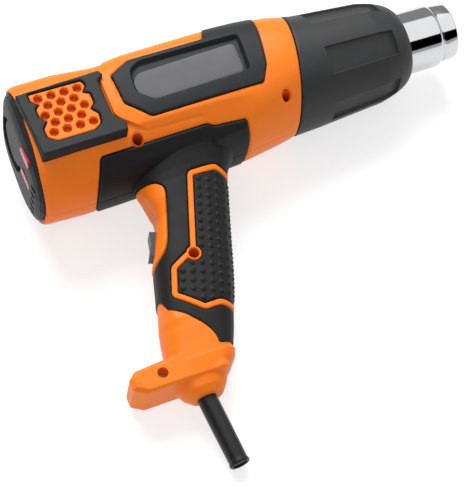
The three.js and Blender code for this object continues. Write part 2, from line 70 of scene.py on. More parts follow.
# Casing sections: station, height above the axis, depth below it, half width, and the powers
# of the upper and lower halves (2 is an ellipse).
BODY = np.array([
    [1.3, 30.6, 38.4, 31.0, 3.0, 2.2], [2.4, 32.2, 40.0, 32.4, 3.2, 2.3],
    [4.5, 33.0, 40.7, 33.0, 3.3, 2.35], [24, 33.0, 41.3, 33.0, 3.4, 2.45],
    [46, 30.4, 40.7, 33.0, 3.4, 2.5], [108, 31.5, 38.5, 33.0, 3.3, 2.5],
    [124, 32.0, 37.6, 33.0, 3.1, 2.4], [140, 32.6, 36.4, 33.0, 2.6, 2.3],
    [160.2, 33.2, 33.2, 33.2, 2.0, 2.0]])
RIDGE = np.array([
    [40, 28.0, 41.0, 34.6, 3.4, 2.45], [57, 31.5, 41.0, 34.8, 3.4, 2.5],
    [64, 32.4, 40.8, 35.0, 3.4, 2.5], [108, 33.8, 39.2, 35.2, 3.2, 2.5],
    [130, 34.3, 38.0, 35.3, 2.8, 2.4], [150, 34.6, 35.4, 34.9, 2.3, 2.2],
    [156, 34.4, 34.6, 34.5, 2.1, 2.1], [160.2, 34.0, 34.0, 34.0, 2.0, 2.0]])
# A flat chamfer along the lower flank: how far its normal leans to the side and down, and
# its distance from the axis.
CHAMFER_SIDE = 0.776
CHAMFER_DOWN = 0.631
CHAMFER_REACH = 37.6
# Handle sections: height, rear edge, front edge, half thickness, powers behind and in front.
HANDLE = np.array([
    [-26, 43, 130, 24.0, 1.7, 2.6], [-30, 44, 123, 22.6, 1.7, 2.5],
    [-34, 45.4, 116.5, 21.0, 1.7, 2.5], [-38, 47.4, 111.5, 19.4, 1.8, 2.5],
    [-43, 49.8, 106.6, 18.0, 2.0, 2.5], [-48.3, 51.8, 102.7, 17.0, 2.4, 2.5],
    [-53.4, 53.4, 100.4, 16.7, 3.0, 2.5], [-59.7, 54.8, 97.9, 16.4, 3.6, 2.5],
    [-66, 53.6, 95.6, 16.3, 3.6, 2.5], [-72, 50.4, 93.4, 16.3, 3.5, 2.5],
    [-84, 44.6, 89.1, 16.3, 3.2, 2.5], [-90, 41.6, 87.0, 16.4, 3.0, 2.5],
    [-105, 37.0, 81.7, 16.4, 2.8, 2.6], [-115, 33.8, 77.8, 16.2, 2.8, 2.7],
    [-125, 30.8, 73.5, 15.8, 2.9, 2.8], [-137, 28.2, 68.5, 15.2, 3.0, 3.0],
    [-150, 27.0, 62.4, 14.8, 3.2, 3.2]])
# The thumb rest's raised corners: height and how far they stand behind its middle.
THUMB_LIP = np.array([[-68, 0.0], [-62, 0.6], [-56, 1.0], [-50, 0.8], [-44, 0.0]])
# The base's stem inside the skin, which stops short of the grooves round the pad.
BASE_STEM = np.array([
    [-110, 36.0, 44.0, 10.0, 2.0, 2.2], [-118, 33.3, 47.0, 13.4, 2.0, 2.4],
    [-125, 30.9, 52.0, 15.6, 2.0, 2.6], [-132, 29.3, 60.0, 15.4, 2.4, 2.8],
    [-140, 27.9, 65.0, 15.0, 2.8, 3.0], [-150, 27.0, 62.4, 14.8, 3.2, 3.2]])
CORD_BOSS = np.array([
    [-146.6, 27.0, 63.4, 14.6, 3.0, 3.4], [-148.4, 26.5, 64.2, 15.0, 3.2, 3.4],
    [-152, 25.6, 62.6, 14.6, 3.0, 3.2],
    [-156.5, 26.0, 58.6, 14.0, 3.0, 3.0], [-158.5, 27.0, 56.0, 12.6, 2.5, 2.5],
    [-163, 29.2, 53.4, 11.4, 2.4, 2.4], [-166.8, 33.2, 50.2, 9.0, 2.2, 2.2]])

# Outlines seen from the side, as x and y.
FOOT = [(4.2, -148), (8, -144.6), (24, -143.4), (40, -142), (56, -150.5), (56, -158),
        (10.5, -158), (4.2, -154)]
RIDGE_EDGE = [(47.4, 12.5), (47.4, -10.5), (50, -13.6), (62.8, -23.2), (94.3, -22.9),
              (97.2, -30), (98, -70), (200, -70), (200, 70), (61, 70), (56, 30)]
PANEL = [(54.4, 12.9), (67.9, 20.7), (112, 20.7), (116.5, 30), (118.5, 50), (152.5, 50),
         (149.2, 36), (145.6, 22), (139.8, -6.5), (134.1, -16.7), (67.1, -17.6), (55.2, -6.1)]
PANEL_RECESS = [(65, 12.6), (71.8, 17.2), (131.8, 17), (129.2, -8), (71.8, -9.4),
                (63.4, -1.4)]
PLATE = [(65.2, 6.0), (69.5, 10.4), (127.4, 12.8), (126.2, -7.2), (72.2, -8.6), (65, -1.8)]
GRILLE_FRAME = [(0.9, 15.4), (48.7, 16.8), (50.4, 13.5), (46.4, 10.8), (46.3, -11.7),
                (51.6, -17.6), (50.9, -23.2), (2.7, -23.6)]
HONEYCOMB = [(7.5, 13.7), (37.4, 13.5), (38.8, 9.9), (35.8, 6.4), (39.4, 4.6), (39.3, -1.9),
             (36.3, -4.5), (39.6, -8.6), (38.6, -14.6), (34.2, -17.3), (13.1, -17.4), (8.8, -14.1),
             (8.5, -8.8), (12.0, -4.9), (8.8, -1.0), (8.7, 4.1), (11.6, 6.2), (7.6, 9.4)]
SKIN_EDGE = [(33.8, -28.2), (96, -27.4), (99.5, -29.2), (118.8, -30.2), (122, -50),
             (120, -100), (90, -146), (54.4, -146), (54.9, -142), (53.3, -136), (49.5, -130.6),
             (44.9, -125.3), (38.7, -120.9), (36.5, -119.5), (35.6, -112), (34, -108),
             (20, -100), (27.6, -60), (28.2, -42)]
THUMB_WEB = [(42, -39.6), (46, -42), (52, -44.3), (56, -45.7), (59.5, -47.2), (61.9, -51),
             (61.3, -55), (51.6, -81.5), (48, -86.6), (42, -90.4), (34, -95), (24, -88),
             (30, -52)]
PAD_EDGE = [(112, -60), (97.4, -51.4), (93.6, -48.2), (78.1, -48.8), (62.4, -91.6),
            (48.8, -97.9), (43.4, -112.5), (56, -124.3), (65.3, -123.8), (72, -127), (92, -133)]
HEX_ROWS = [(11.9, 9.9, 4), (15.6, 4.5, 3), (12.1, -1.0, 4), (15.8, -6.4, 3), (13.1, -12.0, 4)]
HEX_PITCH = 7.4
GRILLE_TOP = 37.2                 # heights from the gun's middle plane
COMB_TOP = 36.5
COMB_BOTTOM = 33.7
HEX_R = 2.7
SCREWS = {"body_screw": (55.8, -25.6, 16.0), "collar_screw": (145.3, -25.2, 14.0),
          "handle_screw": (61.9, -93.8, 9.0), "base_screw": (21.5, -150.5, 8.0)}
SCREW_WELL_R = 2.9
PAD_LEAN = math.radians(20.1)     # how far the pad's rows of bumps lean with the handle
BUMP_ROW = 5.05
BUMP_COLUMN = 5.3
BUMP_R = 1.7
BUMP_START = (1.69, 83.9)         # a bump's place down the lean and across it
PAD_BEND = 97.5                   # where the pad turns round the handle's front
PAD_BEND_R = 15.0
RIDGE_WALL = 0.9                  # width of the slope up to the raised band
PANEL_PROUD = 0.7                 # the side panel stands this far out of the raised band
FOOT_HALF = 14.0                  # half the bar's thickness, and its bevel
FOOT_BEVEL = 2.2
RECESS_DEPTH = 2.8                # the panel's recess, and how far its plate stands out of it
PLATE_PROUD = 0.7
CORD_EXIT = (40.3, -156.0)
CORD_LEAN = math.radians(3.2)     # how far the cord leans forward as it leaves
CORD_LENGTH = 49.0
CORD_R = 3.5
GUARD_R = 5.35


# ------------------------------------------------------------------ placing and mesh building
def turn_matrix():
    """The gun's rest: a roll about the barrel, then a pitch about the bench's Y axis."""
    roll = Matrix.Rotation(math.radians(REST_ROLL), 3, "X")
    pitch = Matrix.Rotation(math.radians(REST_PITCH), 3, "Y")
    return np.array(pitch @ roll)


def placed(points):
    """Gun millimetres to the frame's metres: turned to the rest pose, then shifted."""
    return (np.asarray(points, float) @ turn_matrix().T + np.array(REST_SHIFT)) * MM


def unplaced(points):
    """The frame's metres back to gun millimetres."""
    return (np.asarray(points) / MM - np.array(REST_SHIFT)) @ turn_matrix()


def build_mesh(name, points, faces, sharp=50.0):
    """A mesh object from gun-frame points and one array of triangles or quads, placed and
    smooth shaded except along edges turning by more than `sharp` degrees."""
    mesh = bpy.data.meshes.new(name)
    corners = faces.shape[1]
    mesh.vertices.add(len(points))
    mesh.vertices.foreach_set("co", placed(points).astype(np.float32).ravel())
    mesh.loops.add(faces.size)
    mesh.loops.foreach_set("vertex_index", faces.astype(np.int32).ravel())
    mesh.polygons.add(len(faces))
    mesh.polygons.foreach_set("loop_start", np.arange(0, faces.size, corners, dtype=np.int32))
    mesh.update(calc_edges=True)
    mesh.polygons.foreach_set("use_smooth", np.ones(len(faces), bool))
    mesh.set_sharp_from_angle(angle=math.radians(sharp))
    piece = bpy.data.objects.new(name, mesh)
    bpy.context.scene.collection.objects.link(piece)
    return piece


def as_triangles(faces):
    """Each quad a, b, c, d becomes the triangles a, b, c and a, c, d."""
    if faces.shape[1] == 3:
        return faces
    return np.concatenate([faces[:, [0, 1, 2]], faces[:, [0, 2, 3]]])


def merged(parts):
    """Several (points, faces) pairs as one set of points and triangles."""
    points, faces, start = [], [], 0
    for part_points, part_faces in parts:
        points.append(part_points)
        faces.append(as_triangles(part_faces) + start)
        start += len(part_points)
    return np.concatenate(points), np.concatenate(faces)


def mirrored(part):
    """The same surface on the gun's left: z changes sign and each face turns round."""
    points, faces = part
    return points * np.array([1, 1, -1]), faces[:, ::-1]


def finish_piece(piece, material, body, nodes):
    """Gives a piece its material and body, and hides the frame nodes that it stands for."""
    piece.data.materials.append(material)
    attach(piece, body)
    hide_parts(*nodes)
    return piece


def grid_quads(rows, columns, close_rows=False, close_columns=False):
    """Quads of a rows by columns grid; a closed direction joins its last line to its first."""
    i = np.arange(rows if close_rows else rows - 1)[:, None]
    j = np.arange(columns if close_columns else columns - 1)[None, :]
    right, down = (j + 1) % columns, (i + 1) % rows
    quads = np.stack([i * columns + j + 0 * right, i * columns + right, down * columns + right,
                      down * columns + j], -1)
    return quads.reshape(-1, 4)


def ring_lofted(rings, cap=True):
    """A skin over rings (count, sides, 3); with `cap`, a fan to each end ring's middle."""
    count, sides = rings.shape[:2]
    points = rings.reshape(-1, 3)
    faces = as_triangles(grid_quads(count, sides, close_columns=True))
    if cap:
        points = np.concatenate([points, rings[0].mean(0)[None], rings[-1].mean(0)[None]])
        i = np.arange(sides)
        j = (i + 1) % sides
        first, last = count * sides, count * sides + 1
        end = (count - 1) * sides
        faces = np.concatenate([
            faces, np.stack([j, i, 0 * i + first], -1),
            np.stack([end + i, end + j, 0 * i + last], -1)])
    return points, faces


def turned(profile, sides=96):
    """A profile of (x, radius) rows carried round the barrel's axis and closed on itself."""
    profile = np.asarray(profile, float)
    angle = np.linspace(0, 2 * np.pi, sides, endpoint=False)
    x = np.repeat(profile[:, :1], sides, 1)
    y = profile[:, 1:] * np.cos(angle)
    z = profile[:, 1:] * np.sin(angle)
    return np.stack([x, y, z], -1).reshape(-1, 3), grid_quads(len(profile), sides, True, True)


def rounded(outline, radius, steps=5):
    """An outline with an arc of `radius` at each corner: the arc's ends lie the same way
    from the corner along both sides, and its points follow a quadratic curve between them."""
    outline = np.asarray(outline, float)
    before, after = np.roll(outline, 1, 0) - outline, np.roll(outline, -1, 0) - outline
    reach_before, reach_after = (np.linalg.norm(v, axis=1)[:, None] for v in (before, after))
    cut = np.minimum(radius, 0.45 * np.minimum(reach_before, reach_after))
    start = outline + before / reach_before * cut
    end = outline + after / reach_after * cut
    t = np.linspace(0, 1, steps)[None, :, None]
    near, corner, far = start[:, None], outline[:, None], end[:, None]
    curve = (1 - t) ** 2 * near + 2 * t * (1 - t) * corner + t * t * far
    return curve.reshape(-1, 2)


def distance(points, outline):
    """Signed distance in the side view from points (..., 2) to a closed outline, negative
    inside: the least distance to any edge, with the sign from counting crossings."""
    start = np.asarray(outline, float)
    end = np.roll(start, -1, 0)
    x, y = points[..., 0, None], points[..., 1, None]
    edge = end - start
    along = ((x - start[:, 0]) * edge[:, 0] + (y - start[:, 1]) * edge[:, 1])
    along = np.clip(along / np.maximum((edge ** 2).sum(1), 1e-12), 0, 1)
    gap = np.hypot(x - start[:, 0] - along * edge[:, 0], y - start[:, 1] - along * edge[:, 1])
    level = (start[:, 1] > y) != (end[:, 1] > y)
    slope = np.where(np.abs(edge[:, 1]) < 1e-12, 1e-12, edge[:, 1])
    crossing = x < start[:, 0] + (y - start[:, 1]) * edge[:, 0] / slope
    inside = (level & crossing).sum(-1) % 2 == 1
    return np.where(inside, -1, 1) * gap.min(-1)


def to_circle(points, centre, radius):
    """Signed distance in the side view to a circle, negative inside."""
    return np.hypot(points[..., 0] - centre[0], points[..., 1] - centre[1]) - radius


def snap(grid, field, locked):
    """Moves grid points (rows, columns, 2) onto the line where `field` is 0: a point with a
    neighbour of the other sign slides towards it, if the line is in its half of that edge.
    Returns the grid, the field's values with those set to 0, and the locked points."""
    value = field(grid)
    best = np.full(value.shape, 0.5)
    shift = np.zeros_like(grid)
    for axis in (0, 1):
        for step in (1, -1):
            other = np.roll(value, -step, axis)
            beside = np.roll(grid, -step, axis)
            edge_of_grid = np.zeros(value.shape, bool)
            border = [slice(None), slice(None)]
            border[axis] = -1 if step == 1 else 0
            edge_of_grid[tuple(border)] = True
            across = (value * other < 0) & ~edge_of_grid & ~locked
            part = np.where(across, value / np.where(across, value - other, 1), 1)
            take = across & (part <= best)
            best = np.where(take, part, best)
            shift = np.where(take[..., None], (beside - grid) * part[..., None], shift)
    moved = np.abs(shift).max(-1) > 0
    return grid + shift, np.where(moved, 0.0, value), locked | moved


def kept_triangles(values, grid, field):
    """Triangles of the grid on the side where the first of the values is negative. A quad is
    split along the diagonal that doesn't join two signs of any of the values."""
    rows, columns = values[0].shape
    quads = grid_quads(rows, columns)
    a, b, c, d = quads.T
    flat = values[0].ravel()
    other_way = np.any([v.ravel()[a] * v.ravel()[c] < 0 for v in values], 0)
    first = np.where(other_way[:, None], np.stack([a, b, d], -1), np.stack([a, b, c], -1))
    second = np.where(other_way[:, None], np.stack([b, c, d], -1), np.stack([a, c, d], -1))
    triangles = np.concatenate([first, second])
    highest = flat[triangles].max(1)
    lowest = flat[triangles].min(1)
    centre = grid.reshape(-1, 2)[triangles].mean(1)
    keep = (highest <= 0) & (lowest < 0)
    on_line = (highest <= 0) & (lowest == 0)
    if on_line.any():
        keep[on_line] = field(centre[on_line]) < 0
    return triangles[keep][:, ::-1]


def compact(points, triangles, *others):
    """Drops the points that no triangle uses."""
    used, faces = np.unique(triangles, return_inverse=True)
    return (points[used], faces.reshape(-1, 3), *(o[used] for o in others))


def point_normals(points, triangles):
    """Each point's normal: the sum of its triangles' cross products, made one long."""
    a, b, c = (points[triangles[:, k]] for k in range(3))
    cross = np.cross(b - a, c - a)
    total = np.zeros_like(points)
    for k in range(3):
        np.add.at(total, triangles[:, k], cross)
    return total / np.maximum(np.linalg.norm(total, axis=1), 1e-12)[:, None]


def thickened(points, triangles, depth, direction=None):
    """A closed wall: the surface, its copy `depth` below it, and a strip along each edge
    that has only one triangle."""
    normals = point_normals(points, triangles) if direction is None else direction
    under = points - normals * depth
    edges = np.concatenate([triangles[:, [0, 1]], triangles[:, [1, 2]], triangles[:, [2, 0]]])
    key = np.sort(edges, 1)
    _, index, count = np.unique(key, axis=0, return_index=True, return_counts=True)
    rim = edges[index[count == 1]]
    n = len(points)
    walls = np.stack([rim[:, 1], rim[:, 0], rim[:, 0] + n, rim[:, 1] + n], -1)
    faces = np.concatenate([triangles, triangles[:, ::-1] + n, as_triangles(walls)])
    return np.concatenate([points, under]), faces


def smooth(t):
    """0 below 0, 1 above 1, and 3t^2 - 2t^3 between."""
    t = np.clip(t, 0, 1)
    return t * t * (3 - 2 * t)


def roll_off(inside, radius):
    """How far a rounded edge lies below the surface, `inside` mm in from its border."""
    short = np.clip(1 - inside / radius, 0, 1)
    return radius * (1 - np.sqrt(np.clip(1 - short ** 2, 0, 1)))


def patch(place, grid, region, radius=0.7, depth=2.2, lines=(), shape=None, seam=0.25):
    """A closed wall over part of a surface. `place` maps grid values to gun points, `region`
    gives the signed distance in the side view to the part's border, `lines` are
    functions of the grid whose zero lines it is fitted to, and `shape` gives each point's rise
    along the normal. The border is rounded off, and so is the parting line at z = 0."""
    field = lambda g: region(place(g)[..., :2])
    locked = np.zeros(grid.shape[:2], bool)
    values = []
    for line in (field, *lines):
        grid, value, locked = snap(grid, line, locked)
        values.append(value)
    triangles = kept_triangles(values, grid, field)
    base = place(grid).reshape(-1, 3)
    points, triangles = compact(base, triangles)
    normals = point_normals(points, triangles)
    flat = np.abs(points[:, 2]) < 1e-6
    normals[flat, 2] = 0
    side = points[:, :2]
    rise = -roll_off(-np.minimum(region(side), 0), radius)
    rise = rise - roll_off(np.abs(points[:, 2]), seam)
    if shape is not None:
        rise = rise + shape(side, points)
    return thickened(points + normals * rise[:, None], triangles, depth, normals)


# ------------------------------------------------------------------ the gun's own surfaces
def rows_at(rows, station):
    """Each column of a section table at the stations, in straight runs between its rows."""
    return [np.interp(station, rows[:, 0], rows[:, k]) for k in range(1, rows.shape[1])]


def superellipse(angle, up, down, side, power):
    """Radius of a rounded rectangle at a polar angle from +Z: (|sin| / height)^power +
    (cos / side)^power = radius^-power."""
    s, c = np.sin(angle), np.cos(angle)
    height = np.where(s > 0, up, down)
    return ((np.abs(s) / height) ** power + (np.abs(c) / side) ** power) ** (-1 / power)


def slope_at(station):
    """How far a casing section leans forward for each millimetre up."""
    return REAR_SLOPE + (FRONT_SLOPE - REAR_SLOPE) * np.clip(station / BARREL_FRONT, 0, 1)


def casing_section(rows, station, angle, inset=0.0):
    """A point of a casing section: a rounded rectangle, cut along its lower flank by the
    chamfer, which fades in behind the rim and out at the collar, on a plane that leans."""
    up, down, side, above, below = rows_at(rows, station)
    s, c = np.sin(angle), np.cos(angle)
    radius = superellipse(angle, up, down, side, np.where(s > 0, above, below))
    chamfer = CHAMFER_REACH / np.maximum(CHAMFER_SIDE * np.abs(c) - CHAMFER_DOWN * s, 0.5)
    share = smooth((station - 5) / 12) * smooth((136 - station) / 16)
    radius = radius + np.minimum(chamfer - radius, 0) * share - inset
    y = radius * s
    return np.stack([station + slope_at(station) * y, y, radius * c], -1)


def body_height(side):
    """How far the body's right flank stands from the middle plane, at side-view points."""
    x, y = side[:, 0], side[:, 1]
    up, down, half, above, below = rows_at(BODY, x - slope_at(x) * y)
    reach, power = np.where(y > 0, up, down), np.where(y > 0, above, below)
    return half * np.clip(1 - (np.abs(y) / reach) ** power, 0, 1) ** (1 / power)


def casing_point(station, inset, angle):
    """The casing's outer surface: the body, raised to the ridge inside the ridge's line."""
    body = casing_section(BODY, station, angle, inset)
    ridge = casing_section(RIDGE, station, angle, inset)
    share = np.clip(-distance(body[..., :2], RIDGE_LINE) / RIDGE_WALL, 0, 1)
    return body + (ridge - body) * share[..., None]


RIDGE_LINE = rounded(RIDGE_EDGE, 2.2, 4)
PANEL_LINE = rounded(PANEL, 1.0, 3)
RECESS_LINE = rounded(PANEL_RECESS, 3.0, 5)
PLATE_LINE = rounded(PLATE, 3.0, 5)
FRAME_LINE = rounded(GRILLE_FRAME, 0.9, 3)
COMB_LINE = rounded(HONEYCOMB, 0.8, 3)
SKIN_LINE = rounded(SKIN_EDGE, 1.6, 4)
WEB_LINE = rounded(THUMB_WEB, 3.0, 5)
PAD_LINE = rounded(PAD_EDGE, 1.4, 4)


def station_grid(stations, angles):
    return np.stack(np.meshgrid(stations, angles, indexing="ij"), -1)


HALF_TURN = np.radians(90)
GROOVE = 0.35                     # half the dark line between neighbouring pieces


def rib_band(points):
    """Signed distance to the orange rib: a band each side of the pad's line, and the ring
    round the handle's screw."""
    band = np.abs(distance(points, PAD_LINE)) - 1.5
    return np.minimum(band, to_circle(points, SCREWS["handle_screw"], 4.1))


def skin_region(points):
    """The soft skin: inside its edge, outside the thumb web, the rib and the pad."""
    return np.maximum.reduce([
        distance(points, SKIN_LINE), -distance(points, WEB_LINE), -rib_band(points),
        -distance(points, PAD_LINE)]) + GROOVE


def pad_region(points):
    return np.maximum(distance(points, PAD_LINE), -rib_band(points)) + GROOVE


def shell_region(points):
    """The orange casing on the barrel: outside the soft skin, the panel, the air grille
    and the screw wells."""
    return np.maximum.reduce([
        -distance(points, SKIN_LINE), -distance(points, PANEL_LINE),
        -distance(points, FRAME_LINE) - 1.4,
        -to_circle(points, SCREWS["body_screw"], SCREW_WELL_R),
        -to_circle(points, SCREWS["collar_screw"], SCREW_WELL_R)])


def barrel_profile():
    """Stations and insets along the casing, from inside the rear rim round it, along the
    side and round the front edge into the joint with the shroud."""
    rear = [(5.0, 1.9), (2.6, 1.4), (1.7, 0.5), (1.3, 0.2), (1.35, 0.0)]
    front = [(159.3, 0.05), (159.9, 0.25), (160.1, 0.8), (160.15, 2.4)]
    middle = np.arange(1.8, 158.8, 0.85)
    stations = np.concatenate([[s for s, _ in rear], middle, [s for s, _ in front]])
    insets = np.concatenate([[i for _, i in rear], 0 * middle, [i for _, i in front]])
    return stations, insets


def barrel_place(g):
    """Gun points for grid values: a running index along the profile, and a polar angle."""
    stations, insets = barrel_profile()
    index = np.arange(len(stations))
    station = np.interp(g[..., 0], index, stations)
    return casing_point(station, np.interp(g[..., 0], index, insets), g[..., 1])


def body_side(g):
    """Side view of the body's surface without its ridge, at grid values."""
    stations, _ = barrel_profile()
    station = np.interp(g[..., 0], np.arange(len(stations)), stations)
    return casing_section(BODY, station, g[..., 1])[..., :2]


def barrel_shell():
    stations, _ = barrel_profile()
    grid = station_grid(np.arange(len(stations), dtype=float),
                        np.linspace(-HALF_TURN, HALF_TURN, 130))
    foot = lambda g: distance(body_side(g), RIDGE_LINE)
    crest = lambda g: foot(g) + RIDGE_WALL
    return patch(barrel_place, grid, shell_region, 0.6, 2.0, (foot, crest))


def well(x, y, top, bottom, radius=SCREW_WELL_R):
    """A round well along z: its wall from just under the surface down, and a floor. `top` maps
    side-view points to the surface's height."""
    angle = np.linspace(0, 2 * np.pi, 40, endpoint=False)
    circle, outer = (np.stack([x + r * np.cos(angle), y + r * np.sin(angle)], -1)
                     for r in (radius, radius + 0.8))
    level = lambda ring, z: np.column_stack([ring, z + 0 * ring[:, 0]])
    rings = np.stack([level(outer, bottom - 0.8), level(outer, top(outer) - 0.8),
                      level(circle, top(circle) - 0.6), level(circle, bottom)])
    return ring_lofted(rings)


def handle_place(g):
    """Gun points on the handle for a height and a polar angle round its level section, a
    rounded rectangle, from the back (-90 degrees) past the right side (0) to the front. The
    lip moves the rear corners back: it grows with |z| and fades out 14 mm in from the back."""
    y, angle = g[..., 0], g[..., 1]
    rear, front, half, behind, ahead = rows_at(HANDLE[::-1], y)
    reach = (front - rear) / 2
    power = np.where(np.sin(angle) > 0, ahead, behind)
    radius = superellipse(angle, reach, reach, half, power)
    x, z = (front + rear) / 2 + radius * np.sin(angle), radius * np.cos(angle)
    lip = np.interp(y, THUMB_LIP[:, 0], THUMB_LIP[:, 1])
    x = x - lip * smooth((np.abs(z) - 2) / 9) * smooth(1.6 - (x - rear) / 9)
    return np.stack([x, y, z], -1)


def handle_grid(low, high, step, count):
    heights = np.arange(high, low, -step)
    return station_grid(heights, np.linspace(-HALF_TURN, HALF_TURN, count))


def skin_on_barrel():
    """The soft skin under the barrel, a little proud of the casing round it."""
    proud = 0.7
    stations = np.arange(22.0, 130.0, 0.9)
    grid = station_grid(stations, np.linspace(-HALF_TURN, np.radians(-38), 78))
    place = lambda g: casing_point(g[..., 0], 0.0, g[..., 1])
    region = lambda p: distance(p, SKIN_LINE) + GROOVE
    return patch(place, grid, region, 1.0, 2.0, shape=lambda side, points: proud)


def skin_on_handle():
    grid = handle_grid(-151.5, -27.0, 0.7, 150)
    return patch(handle_place, grid, skin_region, 0.8, 1.8)


def pad_bumps(height):
    """Domes in rows along the leaning handle and round its front: each is a cosine of the
    distance from its middle. Round the front, distance is measured as an arc."""
    def rise(side, points):
        x, y, z = side[:, 0], side[:, 1], np.abs(points[:, 2])
        down = -(x * np.sin(PAD_LEAN) + y * np.cos(PAD_LEAN))
        across = x * np.cos(PAD_LEAN) - y * np.sin(PAD_LEAN)
        past = across - PAD_BEND
        arc = PAD_BEND + PAD_BEND_R * np.arctan2(past, np.maximum(z - 1.4, 0.01))
        across = np.where(past > 0, arc, across)
        row, column = (down - BUMP_START[0]) / BUMP_ROW, (across - BUMP_START[1]) / BUMP_COLUMN
        offset = np.hypot((row - np.round(row)) * BUMP_ROW,
                          (column - np.round(column)) * BUMP_COLUMN)
        dome = height * np.cos(np.clip(offset / BUMP_R, 0, 1) * np.pi / 2) ** 1.3
        return dome * smooth((-pad_region(side) - 0.8) / 0.8)

    return rise


def grip_pad(bump_height):
    grid = handle_grid(-134.0, -46.0, 0.45, 200)
    return patch(handle_place, grid, pad_region, 0.7, 1.8, shape=pad_bumps(bump_height))


def rib():
    """The raised orange line round the pad, with the ring round the handle's screw."""
    grid = handle_grid(-134.0, -42.0, 0.55, 190)
    hole = SCREWS["handle_screw"]
    region = lambda p: np.maximum(rib_band(p), -to_circle(p, hole, SCREW_WELL_R))
    return patch(handle_place, grid, region, 0.5, 2.4, shape=lambda side, points: 0.25)


def thumb_rest():
    """The orange rest behind the handle, with a lip along both its corners."""
    grid = handle_grid(-99.0, -34.0, 0.55, 190)
    region = lambda p: distance(p, WEB_LINE)
    return patch(handle_place, grid, region, 0.8, 2.6, shape=lambda side, points: 0.45)


def level_rings(rows, sides):
    """Closed level rings of a section table, both halves."""
    angle = np.linspace(-np.pi, np.pi, sides, endpoint=False)
    y, a = np.meshgrid(rows[:, 0], angle, indexing="ij")
    rear, front, half, behind, ahead = rows_at(rows[::-1], y)
    reach = (front - rear) / 2
    power = np.where(np.sin(a) > 0, ahead, behind)
    radius = superellipse(a, reach, reach, half, power)
    return np.stack([(front + rear) / 2 + radius * np.sin(a), y, radius * np.cos(a)], -1)


def bevelled_prism(outline, half, bevel):
    """An outline carried along z, its end faces drawn in by the bevel."""
    outline = np.asarray(outline, float)
    middle = outline.mean(0)
    toward = middle - outline
    drawn = outline + toward / np.linalg.norm(toward, axis=1)[:, None] * bevel
    levels = [(drawn, -half), (outline, -half + bevel), (outline, half - bevel), (drawn, half)]
    rings = np.stack([np.column_stack([ring, np.full(len(ring), z)]) for ring, z in levels])
    return ring_lofted(rings[:, ::-1])


def fused(name, part, voxel, smoothing, cutter=None):
    """One skin round overlapping solids: a voxel remesh, then a smoothing that rounds the
    corners where they meet, less the cutter. The mesh is read back with all of it applied."""
    piece = build_mesh(name, *part)
    remesh = piece.modifiers.new("fuse", "REMESH")
    remesh.mode = "VOXEL"
    remesh.voxel_size = voxel * MM
    soften = piece.modifiers.new("soften", "SMOOTH")
    soften.factor = 0.5
    soften.iterations = smoothing
    tool = build_mesh(name + "_cutter", *cutter)
    drill = piece.modifiers.new("drill", "BOOLEAN")
    drill.operation = "DIFFERENCE"
    drill.object = tool
    made = bpy.data.meshes.new_from_object(piece.evaluated_get(
        bpy.context.evaluated_depsgraph_get()))
    points = np.zeros(len(made.vertices) * 3, np.float32)
    made.vertices.foreach_get("co", points)
    made.calc_loop_triangles()
    faces = np.zeros(len(made.loop_triangles) * 3, np.int32)
    made.loop_triangles.foreach_get("vertices", faces)
    for spent in (piece, tool):
        bpy.data.objects.remove(spent)
    bpy.data.meshes.remove(made)
    return unplaced(points.reshape(-1, 3).astype(float)), faces.reshape(-1, 3)


def level_circle(x, y, radius, sides=40):
    angle = np.linspace(0, 2 * np.pi, sides, endpoint=False)
    return np.stack([x + radius * np.cos(angle), y + radius * np.sin(angle)], -1)


def base_solids():
    """The base: its stem in the handle's skin, the hanging bar and the cord's boss."""
    stem = ring_lofted(level_rings(BASE_STEM, 72))
    boss = ring_lofted(level_rings(CORD_BOSS, 72))
    bar = bevelled_prism(FOOT, FOOT_HALF, FOOT_BEVEL)
    return merged([stem, boss, bar])


def base_shell():
    """The base fused into one skin, with a screw well let into the bar."""
    x, y, floor = SCREWS["base_screw"]
    circle = level_circle(x, y, SCREW_WELL_R)
    hole = ring_lofted(np.stack([np.column_stack([circle, z + 0 * circle[:, 0]])
                                 for z in (floor, 30.0)]))
    return fused("base_blank", base_solids(), 0.5, 3, hole)


# ------------------------------------------------------------------ flat parts and turned parts
def flat_place(height):
    """Gun points on a plane facing the gun's right side."""
    return lambda g: np.concatenate([g, np.full(g.shape[:-1] + (1,), height)], -1)


def flat_grid(outline, step):
    """A square grid over an outline, a little wider than it."""
    low, high = np.min(outline, 0) - 1.3, np.max(outline, 0) + 1.3
    return station_grid(np.arange(low[0], high[0], step), np.arange(low[1], high[1], step))


def to_hexagon(points, centre, radius):
    """Signed distance to a hexagon with corners above and below: its flat sides' inner
    radius is radius times cos 30 degrees, rounded a little at the corners."""
    dx, dy = np.abs(points[..., 0] - centre[0]), np.abs(points[..., 1] - centre[1])
    flat = np.maximum(dx, 0.5 * dx + 0.866 * dy)
    return 0.8 * (flat - 0.866 * radius) + 0.2 * (np.hypot(dx, dy) - 0.92 * radius)


def comb_region(points):
    """The honeycomb insert: inside its outline and outside each hole."""
    field = distance(points, COMB_LINE) + 0.2
    for first, y, count in HEX_ROWS:
        for k in range(count):
            hole = to_hexagon(points, (first + k * HEX_PITCH, y), HEX_R)
            field = np.maximum(field, -hole)
    return field


def frame_region(points):
    return np.maximum(distance(points, FRAME_LINE), -distance(points, COMB_LINE) + 0.35)


